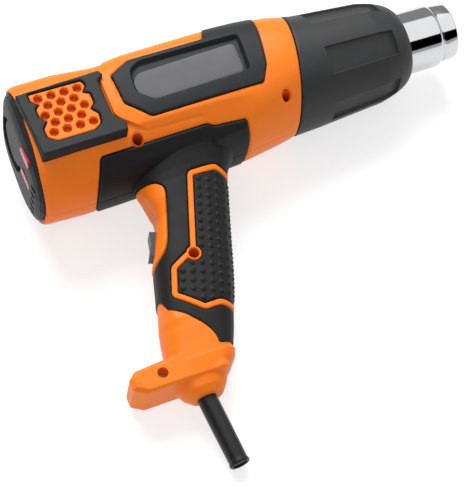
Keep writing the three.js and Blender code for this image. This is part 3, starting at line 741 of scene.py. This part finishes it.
def flat_patch(outline, region, height, floor, radius, step=0.55):
    """A plate with square sides: the trimmed plane, dropped along its border by the rounded
    edge, down to `floor`, which maps side-view points to a height."""
    place = flat_place(height)
    grid = flat_grid(outline, step)
    grid, value, _ = snap(grid, region, np.zeros(grid.shape[:2], bool))
    triangles = kept_triangles([value], grid, region)
    points, triangles = compact(place(grid).reshape(-1, 3), triangles)
    points[:, 2] -= roll_off(-np.minimum(region(points[:, :2]), 0), radius)
    points, faces = thickened(points, triangles, 0.0, np.zeros_like(points))
    half = len(points) // 2
    points[half:, 2] = floor(points[half:, :2])
    return points, faces


def grille_frame():
    foot = lambda side: body_height(side) - 0.4
    return flat_patch(GRILLE_FRAME, frame_region, GRILLE_TOP, foot, 0.9)


def honeycomb():
    return flat_patch(HONEYCOMB, comb_region, COMB_TOP, lambda side: COMB_BOTTOM, 0.35, 0.4)


def comb_floor():
    """The casing behind the insert, seen through its holes."""
    region = lambda p: distance(p, FRAME_LINE) + 2.0
    return flat_patch(GRILLE_FRAME, region, COMB_BOTTOM - 0.4, lambda side: COMB_BOTTOM - 1.3,
                      0.2, 1.2)


def panel_place(g):
    """The panel's surface: that of the raised band, moved out."""
    return casing_section(RIDGE, g[..., 0], g[..., 1], -PANEL_PROUD)


def recess_floor(side, points):
    """Depth of the panel's recess: a short slope down from its edge to a flat floor."""
    return -RECESS_DEPTH * smooth(-distance(side, RECESS_LINE) / 1.5)


def panel_grid():
    return station_grid(np.arange(50.0, 150.0, 0.75),
                        np.linspace(np.radians(-35), HALF_TURN, 130))


def name_panel():
    edge = lambda g: distance(panel_place(g)[..., :2], RECESS_LINE)
    region = lambda p: np.maximum(distance(p, PANEL_LINE) + GROOVE, -distance(p, PLATE_LINE) - 0.6)
    return patch(panel_place, panel_grid(), region, 0.6, 2.4, (edge,), recess_floor)


def name_plate():
    region = lambda p: distance(p, PLATE_LINE)
    rise = lambda side, points: PLATE_PROUD - RECESS_DEPTH
    return patch(panel_place, panel_grid(), region, 0.25, 1.2, shape=rise)


# The shroud's outside from its rear edge to its lip, and its inside back again.
SHROUD_OUTSIDE = np.array([
    [161.6, 33.96], [176, 32.75], [212, 30.0], [217, 28.9], [222, 27.5], [226, 25.9],
    [229, 24.2], [231, 22.4], [231.8, 21.2]])
SHROUD_INSIDE = [(232, 20.7), (231.8, 20.1), (231.2, 19.9), (228.5, 19.9), (226, 22.0),
                 (218, 25.4), (160.6, 30.0)]
RECESS_HALF_TURN = 14.6           # degrees from a flat's middle to its side walls
FLAT_START = 176.0                # the flats' ends along the barrel, and their depth
FLAT_END = 220.5
FLAT_DEPTH = 1.5
FLATS = 6


def shroud():
    """The heat shield: a profile turned round the barrel, its radius cut back in six flats.
    A flat's floor is a plane, so its radius is the plane's distance over the cosine of the
    angle from the flat's middle; steep walls lead down to it."""
    outer = np.concatenate([np.arange(161.6, 174, 1.2), np.arange(174, 179, 0.25),
                            np.arange(179, 218, 1.5), np.arange(218, 222, 0.25),
                            np.arange(222, 231.8, 0.6)])
    base = np.interp(outer, *SHROUD_OUTSIDE.T)
    x = np.concatenate([[160.6, 160.9], outer, [q[0] for q in SHROUD_INSIDE]])
    radius = np.concatenate([[33.0, 33.75], base, [q[1] for q in SHROUD_INSIDE]])
    wall = 0.5
    half = np.concatenate([[0, 3, 6, 9, 12], RECESS_HALF_TURN + np.array([-wall, 0]),
                           [16.5, 20, 25, 30]])
    local = np.concatenate([-half[-2:0:-1], half])
    angle = np.radians(np.concatenate([local + 60 * k + 24 for k in range(FLATS)]))
    from_middle = np.abs(np.concatenate([local] * FLATS))
    is_outer = (np.arange(len(x)) >= 2) & (np.arange(len(x)) < 2 + len(outer))
    along = np.clip((x - FLAT_START) / 0.7, 0, 1) * np.clip((FLAT_END - x) / 0.9, 0, 1)
    depth = along * is_outer * FLAT_DEPTH
    edge = np.radians(RECESS_HALF_TURN)
    plane = (radius - depth)[:, None] * np.cos(edge) / np.cos(
        np.radians(np.minimum(from_middle, RECESS_HALF_TURN)))
    share = np.clip((RECESS_HALF_TURN - from_middle) / wall, 0, 1) * (depth[:, None] > 0)
    r = radius[:, None] + (plane - radius[:, None]) * share
    y, z = -r * np.sin(angle), r * np.cos(angle)
    lean = FRONT_SLOPE * y * (1 - smooth((x[:, None] - 160.6) / 12)) * (x[:, None] < FLAT_START)
    points = np.stack([x[:, None] + lean, y, z], -1)
    return points.reshape(-1, 3), grid_quads(*r.shape, True, True)


def nozzle():
    """The chromed tube: straight, drawn in at a neck, then straight to a rounded lip."""
    neck = [(252.2, NOZZLE_R), (253.3, 18.65), (254.3, 18.1), (255.0, 17.3), (255.5, 16.6),
            (256.0, 16.5), (256.4, 16.8), (256.9, NOZZLE_END_R)]
    lip = [(264.2, NOZZLE_END_R), (264.7, 16.85), (265.0, 16.5), (265.0, 16.1), (264.8, 15.8),
           (264.2, 15.6)]
    inside = [(252.0, 15.5), (249.0, 17.4), (200.0, 17.7), (200.0, 17.9)]
    return turned([(200.0, NOZZLE_R)] + neck + lip + inside, 128)


def along_cord(points):
    """Points given by x across the cord, y up it and z, turned and moved to its exit."""
    turn = np.array([[math.cos(CORD_LEAN), -math.sin(CORD_LEAN), 0],
                     [math.sin(CORD_LEAN), math.cos(CORD_LEAN), 0], [0, 0, 1]])
    return points @ turn.T + np.array([*CORD_EXIT, 0])


def guard():
    """The cord's sleeve: a faintly tapered tube with a bead at its mouth."""
    taper = [(3.0, GUARD_R), (-7, GUARD_R), (-30, GUARD_R - 0.05), (-46.6, GUARD_R - 0.2)]
    bead = [(-47.4, GUARD_R - 0.2), (-48.0, GUARD_R + 0.1), (-48.8, GUARD_R + 0.2),
            (-49.5, GUARD_R + 0.15), (-49.9, GUARD_R - 0.1), (-50.0, 4.6), (-49.8, 4.2),
            (-49.3, 3.95), (-47, CORD_R + 0.25), (3.0, CORD_R + 0.25)]
    points, faces = turned([(-y, r) for y, r in taper + bead], 48)
    return along_cord(np.stack([points[:, 1], -points[:, 0], points[:, 2]], -1)), faces


def cord_route():
    """Points down the cord's centreline, in the frame's metres."""
    y = np.linspace(0, -CORD_LENGTH, 17)
    return placed(along_cord(np.stack([0 * y, y, 0 * y], -1)))


# ------------------------------------------------------------------ materials
def linear(colour):
    """sRGB hex to linear RGBA."""
    parts = [int(colour[i:i + 2], 16) / 255 for i in (0, 2, 4)]
    return (*[c / 12.92 if c <= 0.04045 else ((c + 0.055) / 1.055) ** 2.4 for c in parts], 1.0)


def add(tree, kind, links=(), **values):
    """Adds a node: `values` are its sockets by name, with _ for a space, or its properties,
    and `links` are (output socket, this node's input name)."""
    node = tree.nodes.new(kind)
    for key, value in values.items():
        socket = next((i for i in node.inputs if i.name == key.replace("_", " ")), None)
        if socket is not None:
            socket.default_value = value
        else:
            setattr(node, key, value)
    for output, name in links:
        tree.links.new(output, node.inputs[name])
    return node


def per_mm(size):
    """Noise scale, in cycles per metre, for features of a size in millimetres."""
    return 1 / (size * MM)


def finish(name, colour, shade, rough, grain=0.35, grain_depth=0.012, mottle=14.0, swing=0.06,
           **shader):
    """A moulded or machined surface: its colour drifts to a shade of it over patches of
    `mottle` mm, its roughness swings with them, and a fine grain lifts its surface."""
    material = bpy.data.materials.new(name)
    material.use_nodes = True
    tree = material.node_tree
    tree.nodes.clear()
    place = add(tree, "ShaderNodeTexCoord").outputs["Object"]
    drift = add(tree, "ShaderNodeTexNoise", [(place, "Vector")], Scale=per_mm(mottle), Detail=3.0)
    mix = add(tree, "ShaderNodeMix", [(drift.outputs["Fac"], "Factor")], data_type="RGBA")
    for socket in mix.inputs:
        if socket.type == "RGBA":
            socket.default_value = linear(colour if socket.name == "A" else shade)
    mixed = next(o for o in mix.outputs if o.type == "RGBA")
    gloss = add(tree, "ShaderNodeMapRange", [(drift.outputs["Fac"], "Value")])
    gloss.inputs["To Min"].default_value = rough - swing
    gloss.inputs["To Max"].default_value = rough + swing
    fine = add(tree, "ShaderNodeTexNoise", [(place, "Vector")], Scale=per_mm(grain), Detail=2.0)
    bump = add(tree, "ShaderNodeBump", [(fine.outputs["Fac"], "Height")],
               Distance=grain_depth * MM, Strength=1.0)
    shaded = add(tree, "ShaderNodeBsdfPrincipled",
                 [(mixed, "Base Color"), (gloss.outputs["Result"], "Roughness"),
                  (bump.outputs["Normal"], "Normal")])
    for key, value in shader.items():
        shaded.inputs[key.replace("_", " ")].default_value = value
    add(tree, "ShaderNodeOutputMaterial", [(shaded.outputs["BSDF"], "Surface")])
    return material


def make_finishes():
    """The gun's finishes by material slot."""
    return {
        # Injection-moulded ABS in orange, satin from a fine spark texture in the mould.
        "orange_housing": finish("orange_abs", "F07A16", "EA7213", 0.42, 0.3, 0.010,
                                 Specular_IOR_Level=0.2),
        # The same ABS down narrow holes, painted darker and redder: painted shade standing in for
        # the shade and the ABS's own reflected light there.
        "orange_recess_painted_shade": finish("orange_abs_painted_shade", "D2561C", "C44C18", 0.5, 0.3, 0.010,
                                Specular_IOR_Level=0.1),
        # Over-moulded thermoplastic rubber: dull, with a broad soft sheen.
        "soft_grip": finish("black_tpe", "161718", "111213", 0.55, 0.25, 0.015,
                            Specular_IOR_Level=0.2),
        # Glass-filled nylon of the grille, the panel, the rear cover: dry satin charcoal.
        "black_trim": finish("charcoal_nylon", "222427", "1D1F21", 0.5, 0.3, 0.014,
                             Specular_IOR_Level=0.2),
        # Painted plate in the recess, matt with a fine spray texture.
        "grey_plate": finish("grey_paint", "58585A", "525254", 0.55, 0.35, 0.012,
                             Specular_IOR_Level=0.3),
        # Heat-resistant phenolic of the shroud: even, matt and a little lighter.
        "black_shroud": finish("shroud_phenolic", "2D2E2F", "282929", 0.52, 0.3, 0.014,
                               Specular_IOR_Level=0.3),
        # Chromed steel tube: mirror bright, with faint haze from polishing.
        "chromed_tube": finish("chrome_plate", "D2D3D4", "CACBCC", 0.07, 0.8, 0.0004, 20.0, 0.02,
                               Metallic=1.0),
        # Clear red polycarbonate over a lamp.
        "red_lens": finish("red_polycarbonate", "B52A3A", "9C2232", 0.2, 0.8, 0.002,
                            Specular_IOR_Level=0.3),
        # Nylon of the switch, a little glossier than the trim.
        "black_nylon": finish("switch_nylon", "27282A", "212224", 0.36, 0.3, 0.01),
        # Rubber of the sleeve and cord: semi-gloss black.
        "cable_rubber": finish("sleeve_rubber", "0B0B0C", "080808", 0.3, 0.4, 0.008,
                               Specular_IOR_Level=0.35),
        "ceramic": finish("fired_ceramic", "E6DFD2", "DAD1C0", 0.8, 0.5, 0.03),
        "mica": finish("mica_sheet", "B39F7C", "9A8763", 0.6, 1.2, 0.02),
        "circuit_board": finish("solder_mask", "1F5A35", "194B2B", 0.45, 0.6, 0.01),
        "heating_wire": finish("oxidised_wire", "8A7F78", "6F655E", 0.5, 0.4, 0.01, Metallic=1.0),
        "plated_steel": finish("zinc_plate", "9A9C9E", "86888A", 0.36, 0.4, 0.006, Metallic=1.0),
    }


# ------------------------------------------------------------------ stage
def softbox(name, place, aim, width, height, power):
    """A rectangular lamp at a place, facing a point."""
    data = bpy.data.lights.new(name, "AREA")
    data.shape = "RECTANGLE"
    data.size, data.size_y, data.energy = width, height, power
    lamp = bpy.data.objects.new(name, data)
    lamp.location = place
    lamp.rotation_euler = (Vector(aim) - Vector(place)).to_track_quat("-Z", "Y").to_euler()
    bpy.context.scene.collection.objects.link(lamp)


def card(name, low, high, shade):
    """A studio card that only mirror reflections see, along the barrel: it fills the
    directions from `low` to `high`, in degrees from straight out of the gun's right side
    towards the handle's foot, as the chromed tube throws the view back."""
    reach, half_length, forward = 600.0, 700.0, 0.288
    across = math.sqrt(1 - forward ** 2)
    middle = np.array([245.0, 0, 0])
    corners = []
    for degrees, end in ((low, -1), (low, 1), (high, 1), (high, -1)):
        turn = math.radians(degrees)
        toward = np.array([forward, -across * math.sin(turn), across * math.cos(turn)])
        corners.append(middle + reach * toward + np.array([end * half_length, 0, 0]))
    mesh = bpy.data.meshes.new(name)
    mesh.from_pydata(placed(corners).tolist(), [], [(0, 1, 2, 3)])
    plane = bpy.data.objects.new(name, mesh)
    bpy.context.scene.collection.objects.link(plane)
    material = bpy.data.materials.new(name)
    material.use_nodes = True
    tree = material.node_tree
    tree.nodes.clear()
    glow = add(tree, "ShaderNodeEmission", Color=(shade, shade, shade, 1), Strength=1.0)
    add(tree, "ShaderNodeOutputMaterial", [(glow.outputs["Emission"], "Surface")])
    plane.data.materials.append(material)
    plane.visible_camera = plane.visible_diffuse = plane.visible_shadow = False


# The camera in the gun's axes: where it stands, and the view's right and up.
CAMERA_PLACE = (-160.7, -412.1, 767.0)
CAMERA_RIGHT = (0.9112, -0.3897, 0.1334)
CAMERA_UP = (0.2944, 0.8427, 0.4508)
CAMERA_LENS = 118.03              # mm, on a sensor of this width
CAMERA_SENSOR = 36.0


def camera():
    """A long lens above the gun's right side, from behind and below the handle."""
    turn = turn_matrix()
    right, up = turn @ np.array(CAMERA_RIGHT), turn @ np.array(CAMERA_UP)
    back = np.cross(right, up)
    place = placed(CAMERA_PLACE)
    data = bpy.data.cameras.new("camera")
    data.lens, data.sensor_width = CAMERA_LENS, CAMERA_SENSOR
    data.clip_start, data.clip_end = 0.05, 20.0
    made = bpy.data.objects.new("camera", data)
    made.matrix_world = Matrix([[right[i], up[i], back[i], place[i]] for i in range(3)]
                               + [[0, 0, 0, 1]])
    bpy.context.scene.collection.objects.link(made)
    bpy.context.scene.camera = made


def stage(key_power):
    """A pale floor, an even sky, two softboxes and the cards that the chrome mirrors."""
    scene = bpy.context.scene
    scene.view_settings.view_transform = "Standard"
    mesh = bpy.data.meshes.new("floor")
    reach = 6.0
    mesh.from_pydata([(-reach, -reach, 0), (reach, -reach, 0), (reach, reach, 0),
                      (-reach, reach, 0)], [], [(0, 1, 2, 3)])
    floor = bpy.data.objects.new("floor", mesh)
    scene.collection.objects.link(floor)
    floor.data.materials.append(finish("white_acrylic", "989898", "959595", 0.6, 3.0, 0.001,
                                       Emission_Color=(1, 1, 1, 1), Emission_Strength=0.7))
    world = bpy.data.worlds.new("studio")
    scene.world = world
    world.use_nodes = True
    world.node_tree.nodes["Background"].inputs["Color"].default_value = (1, 1, 1, 1)
    world.node_tree.nodes["Background"].inputs["Strength"].default_value = 0.5
    softbox("key", (0.15, 1.1, 1.5), (0, 0, 0.03), 1.4, 1.0, key_power)
    softbox("fill", (-0.5, -0.9, 1.6), (0, 0, 0.03), 0.8, 0.8, 5.0)
    card("grey_card", -100, -43, 0.32)
    card("white_card", -43, 32, 1.25)
    card("black_card", 32, 67, 0.0)


# ------------------------------------------------------------------ operators
FINISHES = {}


class HeatGunSettings(bpy.types.PropertyGroup):
    """Sizes and light that can be changed before the parts are built"""
    bump_height: bpy.props.FloatProperty(
        name="Bump height", description="Height of the grip pad's bumps",
        default=0.8 * MM, min=0.0, max=1.5 * MM, unit="LENGTH", subtype="DISTANCE")
    key_power: bpy.props.FloatProperty(
        name="Key power", description="Power of the softbox over the gun's top",
        default=42.0, min=0.0, unit="POWER")


def both_sides(name, part, slot_name, nodes, finish_name=None):
    """The right-hand piece and its mirror image, each standing for its CAD node. Its finish
    is the one named, or else the slot's own."""
    for side, shape in (("right", part), ("left", mirrored(part))):
        piece = build_mesh(f"{side}_{name}", *shape)
        finish_piece(piece, FINISHES[finish_name or slot_name], "gun",
                     [f"{side}_{node}" for node in nodes])


def single(name, part, slot_name, body, nodes, sharp=50.0):
    piece = build_mesh(name, *part, sharp=sharp)
    return finish_piece(piece, FINISHES[slot_name], body, nodes)


class HEATGUN_OT_finishes(bpy.types.Operator):
    """Make the materials and give them to the frame's own nodes"""
    bl_idname = "heatgun.finishes"
    bl_label = "Finishes"

    def execute(self, context):
        FINISHES.update(make_finishes())
        slots = {part["node"]: part["material_slot"] for part in frame["record"]["subparts"]}
        for name, node in frame["nodes"].items():
            node.data.materials.clear()
            node.data.materials.append(FINISHES[slots[name]])
        return {"FINISHED"}


class HEATGUN_OT_stage(bpy.types.Operator):
    """Add the camera, the floor and the studio light"""
    bl_idname = "heatgun.stage"
    bl_label = "Stage"

    def execute(self, context):
        camera()
        stage(context.scene.heat_gun.key_power)
        return {"FINISHED"}


class HEATGUN_OT_cord(bpy.types.Operator):
    """Build the cord's sleeve and the stub of cord in it"""
    bl_idname = "heatgun.cord"
    bl_label = "Cord and sleeve"

    def execute(self, context):
        sleeve = single("cord_sleeve", guard(), "cable_rubber", "gun", ["cord_guard"], 35.0)
        curve = bpy.data.curves.new("cord_stub", "CURVE")
        curve.dimensions = "3D"
        curve.bevel_depth = CORD_R * MM
        curve.bevel_resolution = 6
        curve.use_fill_caps = True
        route = cord_route()
        line = curve.splines.new("POLY")
        line.points.add(len(route) - 1)
        line.points.foreach_set("co", np.column_stack([route, np.ones(len(route))]).ravel())
        stub = bpy.data.objects.new("cord_stub", curve)
        context.scene.collection.objects.link(stub)
        finish_piece(stub, FINISHES["cable_rubber"], "gun", ["power_cord"])
        return {"FINISHED"}


class HEATGUN_OT_casing(bpy.types.Operator):
    """Build the two orange casing halves"""
    bl_idname = "heatgun.casing"
    bl_label = "Casing"

    def execute(self, context):
        grip_side = lambda side: 16.3
        wells = [well(*SCREWS[name][:2], top, SCREWS[name][2]) for name, top in
                 (("body_screw", body_height), ("collar_screw", body_height),
                  ("handle_screw", grip_side))]
        half = merged([barrel_shell(), rib(), thumb_rest()])
        both_sides("casing", half, "orange_housing", ["shell"])
        # The comb floor and the screw wells take the housing ABS painted darker and redder:
        # painted shade down the holes.
        both_sides("recesses", merged([comb_floor(), *wells]), "orange_housing", [],
                   "orange_recess_painted_shade")
        base = build_mesh("base", *base_shell())
        finish_piece(base, FINISHES["orange_housing"], "gun", [])
        return {"FINISHED"}


class HEATGUN_OT_grips(bpy.types.Operator):
    """Build the soft skins and the bumpy grip pads"""
    bl_idname = "heatgun.grips"
    bl_label = "Soft grips"

    def execute(self, context):
        skin = merged([skin_on_barrel(), skin_on_handle()])
        both_sides("skin", skin, "soft_grip", ["overmould"])
        pad = grip_pad(context.scene.heat_gun.bump_height / MM)
        both_sides("pad", pad, "soft_grip", ["grip_pad"])
        return {"FINISHED"}


class HEATGUN_OT_panels(bpy.types.Operator):
    """Build the side panels, their plates and the air grilles"""
    bl_idname = "heatgun.panels"
    bl_label = "Panels and grilles"

    def execute(self, context):
        both_sides("panel", name_panel(), "black_trim", ["name_panel"])
        both_sides("plate", name_plate(), "grey_plate", ["name_plate"])
        both_sides("grille", grille_frame(), "black_trim", ["grille_frame"])
        both_sides("comb", honeycomb(), "orange_housing", ["honeycomb"])
        return {"FINISHED"}


class HEATGUN_OT_hot_end(bpy.types.Operator):
    """Build the heat shroud and the chromed nozzle"""
    bl_idname = "heatgun.hot_end"
    bl_label = "Hot end"

    def execute(self, context):
        single("shroud", shroud(), "black_shroud", "gun", ["heater_shroud"], 28.0)
        single("nozzle", nozzle(), "chromed_tube", "gun", ["nozzle_tube"], 40.0)
        return {"FINISHED"}


PARTS = (HEATGUN_OT_finishes, HEATGUN_OT_stage, HEATGUN_OT_cord, HEATGUN_OT_casing,
         HEATGUN_OT_grips, HEATGUN_OT_panels, HEATGUN_OT_hot_end)


class HEATGUN_PT_panel(bpy.types.Panel):
    """Lists the gun's parts in the order in which they are built"""
    bl_idname = "HEATGUN_PT_panel"
    bl_label = "Heat gun"
    bl_space_type = "VIEW_3D"
    bl_region_type = "UI"
    bl_category = "Heat gun"

    def draw(self, context):
        for name in ("bump_height", "key_power"):
            self.layout.prop(context.scene.heat_gun, name)
        for part in PARTS:
            self.layout.operator(part.bl_idname)


def register():
    for part in (HeatGunSettings, *PARTS, HEATGUN_PT_panel):
        bpy.utils.register_class(part)
    bpy.types.Scene.heat_gun = bpy.props.PointerProperty(type=HeatGunSettings)


def unregister():
    del bpy.types.Scene.heat_gun
    for part in (HEATGUN_PT_panel, *reversed(PARTS), HeatGunSettings):
        bpy.utils.unregister_class(part)


def main():
    register()
    for part in PARTS:
        group, name = part.bl_idname.split(".")
        getattr(getattr(bpy.ops, group), name)()


if __name__ == "__main__":
    main()
